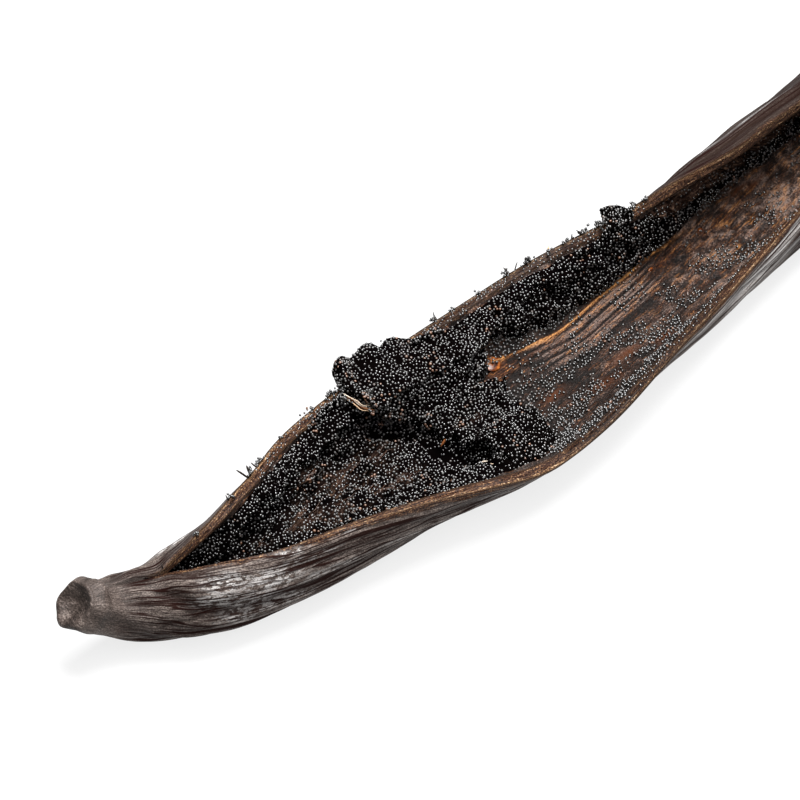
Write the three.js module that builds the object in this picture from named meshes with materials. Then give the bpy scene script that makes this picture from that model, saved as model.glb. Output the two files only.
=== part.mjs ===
// A vanilla pod, slit along its upper side and opened out, with part of its seeds scraped away.
// Millimetres, +Z up. The flower end points to -X and the stem end to +X. The origin is on the
// surface that the pod lies on, under the middle of the box round it.

import * as THREE from "three";

// Driving dimensions, in mm and degrees. A list holds [place, size] pairs, where place is the
// distance from the flower end along the pod, and the sizes between two pairs blend smoothly.
// The near wall is the one towards -Y, and the far wall the one towards +Y.
const POD_LENGTH = 148;
const WALL = 0.9;
const UNDERSIDE_CUT = 0.15;
const BOX_MIDDLE = { x: 72.56, y: -5.11 };

// Length of each wall, measured outside from the middle of the underside up to its lip.
const NEAR_WALL = [
  [0, 6], [1.1, 6.9], [2, 6.3], [3, 6.4], [5, 7.7], [7.5, 9.3], [10, 10.6], [13, 11.5], [20, 11.3],
  [42, 11.4], [66, 11.1], [80, 12.6], [96, 10.8], [116, 9.6], [130, 8], [139, 5.4], [145.5, 3.9],
  [147.2, 4.5], [148, 4.3],
];
const FAR_WALL = [
  [0, 6], [1.1, 6.8], [2, 6.3], [3, 6.5], [5, 7.8], [7.5, 8.8], [10, 9.7], [20, 11], [42, 11.9],
  [66, 10.9], [80, 14.5], [96, 13.5], [116, 10.6], [130, 8.2], [139, 5.4], [145.5, 3.9],
  [147.2, 4.5], [148, 4.3],
];

// How far each wall has turned at its lip: 90 stands upright, 172 has closed over the top.
const NEAR_TURN = [
  [3, 176], [7.5, 174], [10, 158], [13, 143], [20, 118], [30, 86], [42, 47], [54, 60], [66, 87],
  [80, 123], [96, 129], [116, 144], [130, 172],
];
const FAR_TURN = [
  [3, 178], [7.5, 182], [10, 170], [13, 153], [20, 128], [42, 100], [54, 93], [66, 125], [80, 172],
  [130, 172],
];

// How the turn is spread over each wall: 1 is round, more is flatter below and curls at the lip.
const NEAR_CURL = [
  [3, 1], [7.5, 1.2], [20, 1.1], [30, 1.15], [42, 0.95], [54, 0.95], [66, 1.4], [80, 1.85],
  [96, 1.1], [130, 1],
];
const FAR_CURL = [
  [3, 1], [7.5, 0.9], [20, 0.9], [30, 1.4], [54, 1.4], [66, 1], [80, 0.8], [96, 0.65], [116, 0.9],
  [130, 1],
];

// Direction of the pod's middle line: heading turns it sideways, pitch lifts it.
const HEADING = [
  [0, -12], [5, -13], [10, -23], [16, -13], [22, -1], [42, -2], [54, 3], [66, 6], [80, 10],
  [96, 9], [116, 2], [130, -4], [139, -16], [145.5, -34], [148, -42],
];
const PITCH = [[0, -38], [5, -24], [10, -8], [15, -3], [20, 0], [130, 0], [139, 6], [148, 10]];

// The slit: how open the hollow is, from 0 for a closed seam to 1 for the full hollow.
const SLIT = [[6, 0], [9.5, 1], [127, 1], [133, 0]];
const SEAM_DEPTH = 0.35;

// Ends, as [share of the girth, distance along the pod past the last section] from rim to middle.
const FLOWER_DIMPLE = [[0.92, -0.2], [0.78, -0.18], [0.58, 0.15], [0.3, 0.4]];
const STALK_CUT = [[0.86, 0.22], [0.55, 0.32]];

// Lengthwise wrinkles of the skin, as [height, distance between wrinkles, length of one wander].
const WRINKLES = [[0.1, 2.3, 19], [0.08, 3.4, 31], [0.05, 5.9, 11]];
const INNER_RIBS = [[0.05, 2.9, 37], [0.04, 4.7, 23]];

// The seeds. Across the pod they reach from one edge to the other, where -1 is the near lip, 0 the
// middle of the underside and 1 the far lip.
const SEEDS_START = 9.8;
const SEEDS_END = 124;
const SEEDS_NEAR_EDGE = [
  [9.8, -0.6], [13, -0.86], [38, -0.9], [42.5, -0.86], [45, -0.5], [46.6, 0], [47.6, 0.42],
  [48.4, 0.7], [51.3, 0.62], [57.3, 0.44], [67, 0.38], [78, 0.28], [90, 0.17], [124, 0.05],
];
const SEEDS_FAR_EDGE = [
  [9.8, 0.6], [13, 0.88], [18, 0.93], [24, 0.96], [64, 0.96], [70, 0.9], [124, 0.6],
];
const SEEDS_DEPTH = [
  [9.8, 0.7], [13, 1.5], [30, 1.7], [46, 1.8], [52, 1.3], [70, 1.2], [90, 1], [124, 0.5],
];

// The heap that was pushed together in front of the scraped part, and where the seeds stand up
// over the far lip.
const HEAP_RISE = 1.7;
const HEAP_BACK = [[-1, 38.2], [0.1, 38.8], [0.8, 34.6], [1, 33.8]];
const HEAP_SLOPE = 1.6;
const HEAP_FRONT = [46, 52];
const RIM_RISE = [
  [9.8, 0.1], [28, 0.15], [30.6, 0.55], [33.6, 0.65], [34.8, 1.4], [35.6, 2.2], [36.8, 1.5],
  [38.2, 1.8], [39.1, 1.6], [39.8, 1.1], [40.8, 1.2], [43, 0.7], [45.6, 0.5], [48, 0.15],
  [63.4, 0.15], [64.6, 0.5], [65.6, 1.3], [66.7, 1.1], [67.6, 0.3], [68.6, 0.15], [124, 0.1],
];
const RIM_OVERHANG = 0.45;
const SEED_GAP = 0.16;
const THIN_EDGE = 0.22;
const EDGE_ROUNDING = 1.3;
const LUMPS = [[0.22, 3.1], [0.12, 2.3]];

// Fineness of the surfaces.
const OUTSIDE_POINTS = 32;
const INSIDE_POINTS = 20;
const ARC_STEPS = 48;
const SPINE_STEP = 0.25;
const SEED_POINTS_BELOW = 8;
const SEED_POINTS_ABOVE = 14;
const SKIN_STEPS = [[0, 14, 0.74], [14, 132, 2.7], [132, POD_LENGTH, 1.5]];
const SEED_STEPS = [
  [SEEDS_START, 28.6, 1.5], [28.6, 31.4, 0.4], [31.4, 45.4, 0.6], [45.4, 48.6, 0.4],
  [48.6, 63.4, 1.5], [63.4, 68.6, 0.4], [68.6, 90, 1.5], [90, SEEDS_END, 2.2],
];

const smooth = THREE.MathUtils.smoothstep;
const lerp = THREE.MathUtils.lerp;
const radians = THREE.MathUtils.degToRad;

// Size at a place from a list of pairs, never beyond the two sizes on either side of it.
function along(list, place) {
  const last = list.length - 1;
  if (place <= list[0][0]) return list[0][1];
  if (place >= list[last][0]) return list[last][1];
  const slope = (i) => (list[i + 1][1] - list[i][1]) / (list[i + 1][0] - list[i][0]);
  const slopeAt = (i) => {
    if (i === 0) return slope(0);
    if (i === last) return slope(last - 1);
    const product = slope(i - 1) * slope(i);
    return product <= 0 ? 0 : (2 * product) / (slope(i - 1) + slope(i));
  };
  let i = 0;
  while (list[i + 1][0] < place) i += 1;
  const width = list[i + 1][0] - list[i][0];
  const t = (place - list[i][0]) / width;
  const values = (1 + 2 * t) * (1 - t) ** 2 * list[i][1] + t * t * (3 - 2 * t) * list[i + 1][1];
  const slopes = t * (1 - t) ** 2 * slopeAt(i) + t * t * (t - 1) * slopeAt(i + 1);
  return values + slopes * width;
}

// Places from start to end of each stretch, at most its step apart.
function placesOf(stretches) {
  const places = [stretches[0][0]];
  for (const [start, end, step] of stretches) {
    const count = Math.ceil((end - start) / step);
    for (let i = 1; i <= count; i += 1) places.push(lerp(start, end, i / count));
  }
  return places;
}

// The directions forward along the pod, across it towards the far wall, and up from its back.
function axesAt(place) {
  const heading = radians(along(HEADING, place));
  const pitch = radians(along(PITCH, place));
  const across = new THREE.Vector3(-Math.sin(heading), Math.cos(heading), 0);
  const forward = new THREE.Vector3(
    Math.cos(pitch) * Math.cos(heading), Math.cos(pitch) * Math.sin(heading), Math.sin(pitch));
  return { forward, across, up: forward.clone().cross(across) };
}

// The middle line along the underside, with its lowest stretch on the surface.
function makeSpine() {
  const points = [new THREE.Vector3()];
  for (let place = SPINE_STEP / 2; place < POD_LENGTH; place += SPINE_STEP) {
    const step = axesAt(place).forward.multiplyScalar(SPINE_STEP);
    points.push(points[points.length - 1].clone().add(step));
  }
  const lowest = Math.min(...points.map((point) => point.z));
  const toOrigin = new THREE.Vector3(-BOX_MIDDLE.x, -BOX_MIDDLE.y, -lowest - UNDERSIDE_CUT);
  return points.map((point) => point.add(toOrigin));
}

const spine = makeSpine();

function spineAt(place) {
  const at = THREE.MathUtils.clamp(place / SPINE_STEP, 0, spine.length - 1.001);
  const i = Math.floor(at);
  return spine[i].clone().lerp(spine[i + 1], at - i);
}

// A point of a cross-section, across and up from the middle line, in the model's frame.
function inSpace(place, across, up, beyond = 0) {
  const axes = axesAt(place);
  return spineAt(place)
    .addScaledVector(axes.across, across)
    .addScaledVector(axes.up, up)
    .addScaledVector(axes.forward, beyond);
}

// One wall's outside from the underside to its lip: across is positive, whichever side it is on.
function wallArc(length, turn, curl) {
  const arc = [{ across: 0, up: 0, angle: 0 }];
  for (let i = 1; i <= ARC_STEPS; i += 1) {
    const middle = radians(turn) * ((i - 0.5) / ARC_STEPS) ** curl;
    const before = arc[i - 1];
    arc.push({
      across: before.across + (Math.cos(middle) * length) / ARC_STEPS,
      up: before.up + (Math.sin(middle) * length) / ARC_STEPS,
      angle: radians(turn) * (i / ARC_STEPS) ** curl,
    });
  }
  return arc;
}

function sectionAt(place) {
  return {
    near: wallArc(along(NEAR_WALL, place), along(NEAR_TURN, place), along(NEAR_CURL, place)),
    far: wallArc(along(FAR_WALL, place), along(FAR_TURN, place), along(FAR_CURL, place)),
  };
}

// A point of the section at u, from -1 at the near lip to 1 at the far lip, moved inwards by depth.
function wallPoint(section, u, depth) {
  const side = u < 0 ? -1 : 1;
  const arc = side < 0 ? section.near : section.far;
  const at = Math.min(Math.abs(u), 0.99999) * ARC_STEPS;
  const i = Math.floor(at);
  const across = lerp(arc[i].across, arc[i + 1].across, at - i);
  const up = lerp(arc[i].up, arc[i + 1].up, at - i);
  const angle = lerp(arc[i].angle, arc[i + 1].angle, at - i);
  return new THREE.Vector2(
    side * (across - depth * Math.sin(angle)), up + depth * Math.cos(angle));
}

// Sum of lengthwise ridges that wander slowly sideways, fading out at the lips.
function ridges(list, place, u) {
  const girth = u < 0 ? along(NEAR_WALL, place) : along(FAR_WALL, place);
  let height = 0;
  for (const [size, spacing, wander] of list) {
    const drift = 1.2 * Math.sin(place / wander + spacing);
    height += size * Math.sin((2 * Math.PI * u * girth) / spacing + drift);
  }
  return height * (1 - u ** 10);
}

// Uneven lumps of the seeds, from crossing waves.
function lumps(place, across) {
  let height = 0;
  for (const [size, spacing] of LUMPS) {
    const wave = (2 * Math.PI) / spacing;
    const warp = Math.sin(0.31 * wave * place + across);
    height += size * Math.sin(wave * place + 1.7 * Math.sin(0.4 * wave * across))
      * Math.sin(wave * across + 1.9 * warp);
  }
  return height;
}

// The skin's cross-section as one closed outline: outside from lip to lip, then back inside.
function skinOutline(place) {
  const section = sectionAt(place);
  const outline = [];
  for (let i = 0; i < OUTSIDE_POINTS; i += 1) {
    const u = -1 + (2 * i) / (OUTSIDE_POINTS - 1);
    outline.push(wallPoint(section, u, -ridges(WRINKLES, place, u)));
  }
  for (let i = 0; i < INSIDE_POINTS; i += 1) {
    outline.push(insidePoint(section, place, 1 - (2 * i) / (INSIDE_POINTS - 1), 0));
  }
  return outline;
}

// A point of the hollow's surface, lifted off it. Where the slit is shut, the hollow shrinks to the
// groove of the seam.
function insidePoint(section, place, u, lift) {
  const depth = WALL + ridges(INNER_RIBS, place, u) + lift;
  const t = (1 - u * (1 - 1 / INSIDE_POINTS)) / 2;
  const seam = wallPoint(section, 1, 0).lerp(wallPoint(section, -1, 0), t);
  seam.y -= SEAM_DEPTH * Math.sin(Math.PI * t);
  return seam.lerp(wallPoint(section, u, depth), along(SLIT, place));
}

// How thick the seeds lie on the wall.
function seedDepth(place, u, fromEdge) {
  const back = along(HEAP_BACK, u);
  const heap = HEAP_RISE * smooth(place, back, back + HEAP_SLOPE)
    * (1 - smooth(place, HEAP_FRONT[0], HEAP_FRONT[1]));
  const girth = u < 0 ? along(NEAR_WALL, place) : along(FAR_WALL, place);
  const full = along(SEEDS_DEPTH, place) + heap + lumps(place, u * girth);
  const rounding = Math.sqrt(Math.min(1, fromEdge / EDGE_ROUNDING));
  return lerp(THIN_EDGE, Math.max(full, THIN_EDGE), rounding);
}

// The seeds' cross-section: along the wall from the near edge to the far one, over the far lip
// where they stand up, and back over the top.
function seedOutline(place) {
  const section = sectionAt(place);
  const nearEdge = along(SEEDS_NEAR_EDGE, place);
  const farEdge = along(SEEDS_FAR_EDGE, place);
  const rise = along(RIM_RISE, place);
  const girth = along(FAR_WALL, place);
  const onWall = (u, depth) => insidePoint(section, place, u, SEED_GAP + depth);
  const outline = [];
  for (let i = 0; i < SEED_POINTS_BELOW; i += 1) {
    outline.push(onWall(lerp(nearEdge, farEdge, i / (SEED_POINTS_BELOW - 1)), 0));
  }
  const above = smooth(rise, 0.35, 0.5);
  const outwards = smooth(rise, 0.55, 1.4);
  const outerLip = wallPoint(section, 1, 0);
  const innerLip = wallPoint(section, 1, WALL);
  const rim = [
    new THREE.Vector2(innerLip.x - 2 * SEED_GAP, innerLip.y + 2 * SEED_GAP),
    new THREE.Vector2(outerLip.x + rise * RIM_OVERHANG, outerLip.y + 3 * SEED_GAP),
    new THREE.Vector2(outerLip.x + rise * RIM_OVERHANG * 0.7, outerLip.y + rise),
  ];
  rim.forEach((point, i) => {
    const blunt = onWall(farEdge, (THIN_EDGE * (i + 1)) / (rim.length + 1));
    const risen = new THREE.Vector2(lerp(blunt.x, rim[0].x, above), lerp(blunt.y, point.y, above));
    outline.push(new THREE.Vector2(lerp(risen.x, point.x, outwards), risen.y));
  });
  for (let i = 0; i < SEED_POINTS_ABOVE; i += 1) {
    const t = i / (SEED_POINTS_ABOVE - 1);
    const u = lerp(farEdge, nearEdge, t);
    const fromEdge = Math.min(u - nearEdge, farEdge - u) * girth;
    const point = onWall(u, seedDepth(place, u, fromEdge));
    point.y += rise * (1 - smooth(farEdge - u, 0, 0.45));
    outline.push(point);
  }
  return outline;
}

// A closed skin round a row of outlines, each with its place and how far beyond it lies.
function loft(sections) {
  const points = sections.flatMap(({ place, outline, beyond }) =>
    outline.map((point) => inSpace(place, point.x, point.y, beyond)));
  const count = sections[0].outline.length;
  const faces = [];
  for (let ring = 0; ring < sections.length - 1; ring += 1) {
    for (let i = 0; i < count; i += 1) {
      const a = ring * count + i;
      const b = ring * count + ((i + 1) % count);
      faces.push([a, b, b + count], [a, b + count, a + count]);
    }
  }
  const lastRing = (sections.length - 1) * count;
  for (const [a, b, c] of THREE.ShapeUtils.triangulateShape(sections[0].outline, [])) {
    faces.push([a, c, b]);
  }
  for (const face of THREE.ShapeUtils.triangulateShape(sections[sections.length - 1].outline, [])) {
    faces.push(face.map((i) => i + lastRing));
  }
  return { points, faces };
}

// A mesh from points and faces, turned so that its faces point out, and flat where it rests.
function makeMesh(name, { points, faces }, material) {
  for (const point of points) point.z = Math.max(point.z, 0);
  let volume = 0;
  for (const [a, b, c] of faces) volume += points[a].dot(points[b].clone().cross(points[c]));
  const facing = volume > 0 ? faces : faces.map(([a, b, c]) => [a, c, b]);
  const geometry = new THREE.BufferGeometry();
  geometry.setFromPoints(points);
  geometry.setIndex(facing.flat());
  geometry.computeVertexNormals();
  const mesh = new THREE.Mesh(geometry, material);
  mesh.name = name;
  return mesh;
}

// An outline drawn in towards its own middle.
function shrunk(outline, share) {
  const middle = outline
    .reduce((sum, point) => sum.add(point), new THREE.Vector2())
    .divideScalar(outline.length);
  return outline.map((point) => middle.clone().lerp(point, share));
}

// The split skin, with the dimpled flower scar at one end and the cut stalk at the other.
function makeSkin() {
  const sections = placesOf(SKIN_STEPS).map((place) => (
    { place, outline: skinOutline(place), beyond: 0 }));
  for (const [share, beyond] of FLOWER_DIMPLE) {
    sections.unshift({ place: 0, outline: shrunk(skinOutline(0), share), beyond });
  }
  for (const [share, beyond] of STALK_CUT) {
    sections.push({ place: POD_LENGTH, outline: shrunk(skinOutline(POD_LENGTH), share), beyond });
  }
  const brown = new THREE.MeshStandardMaterial({ color: 0x3b2c26, roughness: 0.55, metalness: 0 });
  return makeMesh("pod_skin", loft(sections), brown);
}

// The seeds still in the pod, as one lumpy mass.
function makeSeeds() {
  const sections = placesOf(SEED_STEPS).map((place) => (
    { place, outline: seedOutline(place), beyond: 0 }));
  const black = new THREE.MeshStandardMaterial({ color: 0x14110f, roughness: 0.4, metalness: 0 });
  return makeMesh("seed_mass", loft(sections), black);
}

const pod = new THREE.Group();
pod.add(makeSkin(), makeSeeds());

export default pod;
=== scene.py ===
import functools
import math

import bpy
import numpy as np
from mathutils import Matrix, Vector


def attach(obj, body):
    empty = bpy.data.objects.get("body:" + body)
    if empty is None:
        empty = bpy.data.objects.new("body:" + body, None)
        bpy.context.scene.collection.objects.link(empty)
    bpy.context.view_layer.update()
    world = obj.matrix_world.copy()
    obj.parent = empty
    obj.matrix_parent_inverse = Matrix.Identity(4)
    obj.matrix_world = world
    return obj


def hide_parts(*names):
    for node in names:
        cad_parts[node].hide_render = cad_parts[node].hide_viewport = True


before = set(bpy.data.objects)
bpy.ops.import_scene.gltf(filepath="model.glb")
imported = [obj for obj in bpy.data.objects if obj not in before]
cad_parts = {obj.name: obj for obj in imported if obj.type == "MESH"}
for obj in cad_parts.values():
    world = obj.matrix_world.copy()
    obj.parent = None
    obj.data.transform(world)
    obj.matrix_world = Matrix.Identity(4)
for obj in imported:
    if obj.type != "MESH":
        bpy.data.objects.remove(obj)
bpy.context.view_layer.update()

# A vanilla pod, slit along its upper side and opened out, with part of its seeds scraped away.
# The sizes here are in millimetres and degrees, as in the solid model, and every piece is turned
# to metres when its mesh is made. Lists hold [distance from the flower end, size] pairs.

MM = 0.001

# The pod's form, the same as the solid model's.
POD_LENGTH = 148
WALL = 0.9
UNDERSIDE_CUT = 0.15
BOX_MIDDLE = (72.56, -5.11)
NEAR_WALL = [
    [0, 6], [1.1, 6.9], [2, 6.3], [3, 6.4], [5, 7.7], [7.5, 9.3], [10, 10.6], [13, 11.5],
    [20, 11.3], [42, 11.4], [66, 11.1], [80, 12.6], [96, 10.8], [116, 9.6], [130, 8], [139, 5.4],
    [145.5, 3.9], [147.2, 4.5], [148, 4.3],
]
FAR_WALL = [
    [0, 6], [1.1, 6.8], [2, 6.3], [3, 6.5], [5, 7.8], [7.5, 8.8], [10, 9.7], [20, 11], [42, 11.9],
    [66, 10.9], [80, 14.5], [96, 13.5], [116, 10.6], [130, 8.2], [139, 5.4], [145.5, 3.9],
    [147.2, 4.5], [148, 4.3],
]
NEAR_TURN = [
    [3, 176], [7.5, 174], [10, 158], [13, 143], [20, 118], [30, 86], [42, 47], [54, 60], [66, 87],
    [80, 123], [96, 129], [116, 144], [130, 172],
]
FAR_TURN = [
    [3, 178], [7.5, 182], [10, 170], [13, 153], [20, 128], [42, 100], [54, 93], [66, 125],
    [80, 172], [130, 172],
]
NEAR_CURL = [
    [3, 1], [7.5, 1.2], [20, 1.1], [30, 1.15], [42, 0.95], [54, 0.95], [66, 1.4], [80, 1.85],
    [96, 1.1], [130, 1],
]
FAR_CURL = [
    [3, 1], [7.5, 0.9], [20, 0.9], [30, 1.4], [54, 1.4], [66, 1], [80, 0.8], [96, 0.65],
    [116, 0.9], [130, 1],
]
HEADING = [
    [0, -12], [5, -13], [10, -23], [16, -13], [22, -1], [42, -2], [54, 3], [66, 6], [80, 10],
    [96, 9], [116, 2], [130, -4], [139, -16], [145.5, -34], [148, -42],
]
PITCH = [[0, -38], [5, -24], [10, -8], [15, -3], [20, 0], [130, 0], [139, 6], [148, 10]]
SLIT = [[6, 0], [9.5, 1], [127, 1], [133, 0]]
SEAM_DEPTH = 0.35
WRINKLES = [[0.1, 2.3, 19], [0.08, 3.4, 31], [0.05, 5.9, 11]]
INNER_RIBS = [[0.05, 2.9, 37], [0.04, 4.7, 23]]
SEEDS_START = 9.8
SEEDS_END = 124
SEEDS_NEAR_EDGE = [
    [9.8, -0.6], [13, -0.86], [38, -0.9], [42.5, -0.86], [45, -0.5], [46.6, 0], [47.6, 0.42],
    [48.4, 0.7], [51.3, 0.62], [57.3, 0.44], [67, 0.38], [78, 0.28], [90, 0.17], [124, 0.05],
]
SEEDS_FAR_EDGE = [
    [9.8, 0.6], [13, 0.88], [18, 0.93], [24, 0.96], [64, 0.96], [70, 0.9], [124, 0.6],
]
SEEDS_DEPTH = [
    [9.8, 0.7], [13, 1.5], [30, 1.7], [46, 1.8], [52, 1.3], [70, 1.2], [90, 1], [124, 0.5],
]
HEAP_RISE = 1.7
HEAP_BACK = [[-1, 38.2], [0.1, 38.8], [0.8, 34.6], [1, 33.8]]
HEAP_SLOPE = 1.6
HEAP_FRONT = (46, 52)
RIM_RISE = [
    [9.8, 0.1], [28, 0.15], [30.6, 0.55], [33.6, 0.65], [34.8, 1.4], [35.6, 2.2], [36.8, 1.5],
    [38.2, 1.8], [39.1, 1.6], [39.8, 1.1], [40.8, 1.2], [43, 0.7], [45.6, 0.5], [48, 0.15],
    [63.4, 0.15], [64.6, 0.5], [65.6, 1.3], [66.7, 1.1], [67.6, 0.3], [68.6, 0.15], [124, 0.1],
]
RIM_OVERHANG = 0.45
SEED_GAP = 0.16
THIN_EDGE = 0.22
EDGE_ROUNDING = 1.3

# The ends, from rim to middle, as [share of the girth, distance past the last section].
FLOWER_DIMPLE = [
    [0.97, -0.1], [0.92, -0.2], [0.85, -0.23], [0.78, -0.18], [0.68, 0], [0.58, 0.15],
    [0.44, 0.3], [0.3, 0.4], [0.12, 0.44],
]
STALK_CUT = [[0.95, 0.14], [0.86, 0.22], [0.7, 0.28], [0.55, 0.32], [0.25, 0.33]]

# The skin close to. Creases are [height, distance between them, length of one].
FULL_GIRTH = 11.4
CREASES = [[0.16, 1.3, 20], [0.1, 0.75, 12], [0.045, 0.42, 8]]
# The grain is the place along the pod and the distance round it. On the inside, the two cut
# faces and the ends that distance starts at these values.
LINING_GRAIN = 14
LINING_GRAIN_WIDTH = 24
FAR_CUT_GRAIN = 30
NEAR_CUT_GRAIN = 50
END_GRAIN = 60
# Past this place the grain along the pod is drawn out, so it gains only this much a millimetre.
SLOW_FROM = 45
SLOW_RATE = 0.35
# How far the torn fibres of the cut show on the outside of each lip.
PEEL_NEAR = [
    [7, 0.45], [18, 0.4], [24, 0.35], [30, 0.5], [38, 0.9], [44, 0.9], [50, 0.35], [90, 0.25],
]
PEEL_FAR = [[7, 0.3], [30, 0.2], [90, 0.15]]

# Spots on the pod, as [place, distance from the underside, length, width, strength].
# The white spots are partly wax bloom and partly painted highlights, where the light glints on the oily
# skin.
WAX_AND_PAINTED_HIGHLIGHTS = [
    [12.3, -9.8, 1.8, 0.7, 1], [15.6, -9.3, 2.2, 0.8, 1], [11.6, -8.5, 1.7, 0.7, 0.9],
    [14.4, -7.9, 2.2, 0.7, 0.9], [13.4, -6.6, 1.8, 0.7, 0.7], [16.8, -6.9, 2.2, 0.6, 0.6],
    [17.3, -11, 1.4, 0.25, 1], [18.6, -10.2, 2.2, 0.25, 0.8], [20, -8.4, 3, 0.4, 0.6],
    [21.5, -11.3, 3.5, 0.25, 1], [62, -10.6, 7, 0.7, 1], [72, -10.3, 9, 1.2, 1],
    [84, -10, 8, 1.2, 1], [29, -8.5, 5, 0.3, 0.5], [37, -9.5, 5, 0.3, 0.6],
    [11, 8.8, 2.4, 0.7, 1], [72, 9.6, 1.5, 0.25, 0.8], [77.5, 9.3, 3, 0.3, 0.9],
    [85, 9, 4, 0.4, 0.8], [19, 8.5, 3, 0.5, 0.6],
]
SAP_STAINS = [
    [50.6, 4.8, 0.5, 0.35, 1], [47.6, 6.6, 0.8, 0.4, 1], [76.6, 1.7, 0.4, 0.3, 1],
    [85, 1.2, 1.2, 0.25, 1], [83, 1.9, 1.4, 0.2, 1], [54, -4.6, 1.5, 0.9, 1],
    [58.5, -3.2, 1.8, 0.7, 1], [62, -5.2, 1.2, 0.5, 1], [51, -1.2, 1.2, 0.6, 1],
]
WARM_FLESH = [
    [48.5, 5, 4, 2.2, 1], [54, 3.6, 3, 0.5, 0.4], [46, 7, 2.5, 1, 0.7], [55, -5.5, 3, 0.8, 0.35],
    [61, -8, 5, 0.5, 0.45], [71, 2.4, 3, 0.6, 0.5], [79, 1, 4, 0.5, 0.4],
]

# The ribs of the scraped flesh. The first is golden and lies farthest up the far wall, and the
# others lie below it. They show between two places, and fade in and out over a stretch.
FIRST_RIB = [
    [46, 0.5], [51, 0.45], [55, 0.39], [58, 0.34], [64, 0.37], [69, 0.37], [72, 0.3], [80, 0.2],
    [124, 0.05],
]
RIB_COUNT = 8
RIB_SPACING = 0.52
RIB_HEIGHT = 0.28
RIBS_SHOWN = (51, 55, 66, 73)
FLESH_THICKNESS = 0.2
FLESH_THINNEST = 0.03
FLESH_TUCK = 0.05

# The seeds and the pulp that they lie in.
SEED_SIZE = 0.265
SEED_SPACING = 0.22
SEEDS_IN_A_PIECE = 9800
# Seeds that lie loose on the others, as [name, spacing, clumping, height, unevenness].
LOOSE_SEEDS = [["seeds_piled", 0.26, 1, 0.24, 0.12], ["seeds_highest", 0.31, 2, 0.44, 0.2]]
# Crumbs of seeds that stand up along the heap's highest edge.
BROW_CRUMB_SPACING = 0.8
BROW_CRUMB_SEEDS = 12
BROW_CRUMB_SPREAD = 0.17
BROW_LIFT = 0.65
BROW_UNEVENNESS = 0.42
# How far the pulp's two sides lie off the wall, and how high seeds sit on what they stick to.
PULP_UNDERSIDE = 0.03
PULP_FOOT = 0.05
BED_LIFT = 0.05
STREWN_LIFT = 0.06
LIP_LIFT = 0.08
CRUMB_LIFT = 0.1
HEAP_LEAN = 1.3
# Above this line across the pod the far wall shows through a film of pulp.
BARE_WALL = [[66, 1.1], [70, 0.85], [74, 0.55], [80, 0.42], [92, 0.34], [124, 0.3]]
# The hollow under the heap's overhang, sunk and left bare of seeds so that its black pulp paints
# the shadow there: its width for each place across the pod.
UNDERCUT_SHADOW_WIDTH = [
    [-0.9, 0.2], [-0.6, 0.5], [-0.35, 0.9], [-0.05, 0.6], [0.12, 0.35], [0.38, 0.9], [0.6, 0.4],
    [0.95, 0.2],
]
# Where the heap ends towards the scraped part, for each place across the pod.
FRONT_LINE = [
    [-1, 42.6], [-0.5, 45], [0, 46.6], [0.42, 47.7], [0.66, 48.6], [0.72, 60], [0.75, 130],
]
# Crumbs on the far lip, as [place, seeds, width, height].
LIP_CRUMBS = [
    [12.5, 5, 0.3, 0.3], [17.4, 8, 0.5, 0.4], [21, 12, 0.35, 0.9], [22.6, 9, 0.6, 0.5],
    [26.5, 5, 0.4, 0.3], [31, 10, 0.8, 0.4], [33.2, 8, 0.6, 0.4], [46.6, 9, 0.3, 0.5],
    [49, 5, 0.5, 0.25], [52.5, 6, 0.5, 0.25], [56, 14, 0.6, 0.7], [58.3, 16, 0.7, 0.6],
    [60.3, 6, 0.4, 0.5], [62, 9, 0.7, 0.3], [63.4, 14, 0.6, 0.5], [64.8, 14, 0.5, 0.6],
    [68.2, 14, 0.6, 0.5], [69.4, 8, 0.6, 0.3],
]
# Seeds on the cut faces, as [lip, start, end, depth of the highest, from and to in the noise].
LIP_SEEDS = [[1, 21, 70, 0.05, -1, -0.4], [-1, 44, 92, 0.5, -0.6, 0.2]]
# How thickly single seeds are strewn on the scraped flesh.
STREWN = [[42, 1], [50, 1], [58, 0.9], [66, 0.5], [80, 0.25], [110, 0.1]]
STREWN_STRETCH = (42, 112)
STREWN_SPACING = 0.25
LIP_SPACING = 0.24

# Torn fibres on the far lip, as [place, lean, height, radius, tint].
LIP_SPIKES = [
    [8.4, -0.4, 0.5, 0.06, 0], [17.2, -0.3, 0.6, 0.06, 0.1], [20.6, -0.9, 1.2, 0.09, 0.05],
    [20.9, 0.1, 1.0, 0.12, 0.05], [22.2, -0.6, 0.7, 0.07, 0.1], [46.8, -0.2, 0.9, 0.06, 0],
    [46.5, 0.5, 0.6, 0.05, 0], [56.3, -0.2, 0.9, 0.08, 0.1], [56.9, 0.6, 0.6, 0.06, 0],
    [58.5, -0.3, 0.7, 0.08, 0], [60.2, 0.4, 0.5, 0.09, 0.9], [62.3, 0.5, 0.5, 0.06, 0],
    [63.3, -0.3, 0.8, 0.06, 0], [64.6, 0.3, 0.6, 0.07, 0],
]
# Where dried strands lie in the seeds' bed, as [place, u, length, width, strands].
BED_STRANDS = [
    [25, 0.25, 2.2, 0.12, 10], [27.5, 0.62, 1.5, 0.06, 7], [30.5, 0.28, 2.5, 0.12, 16],
    [33, -0.05, 1.8, 0.08, 12], [29, 0.05, 2.5, 0.1, 8], [34, 0.3, 1.5, 0.08, 7],
    [20, 0.35, 1.5, 0.08, 4], [42.2, -0.15, 0.5, 0.05, 6],
]
STRAND_LENGTH = (0.4, 1.5)
STRAND_RADIUS = (0.014, 0.028)
STRAND_TINT = (0.05, 0.4)
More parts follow.
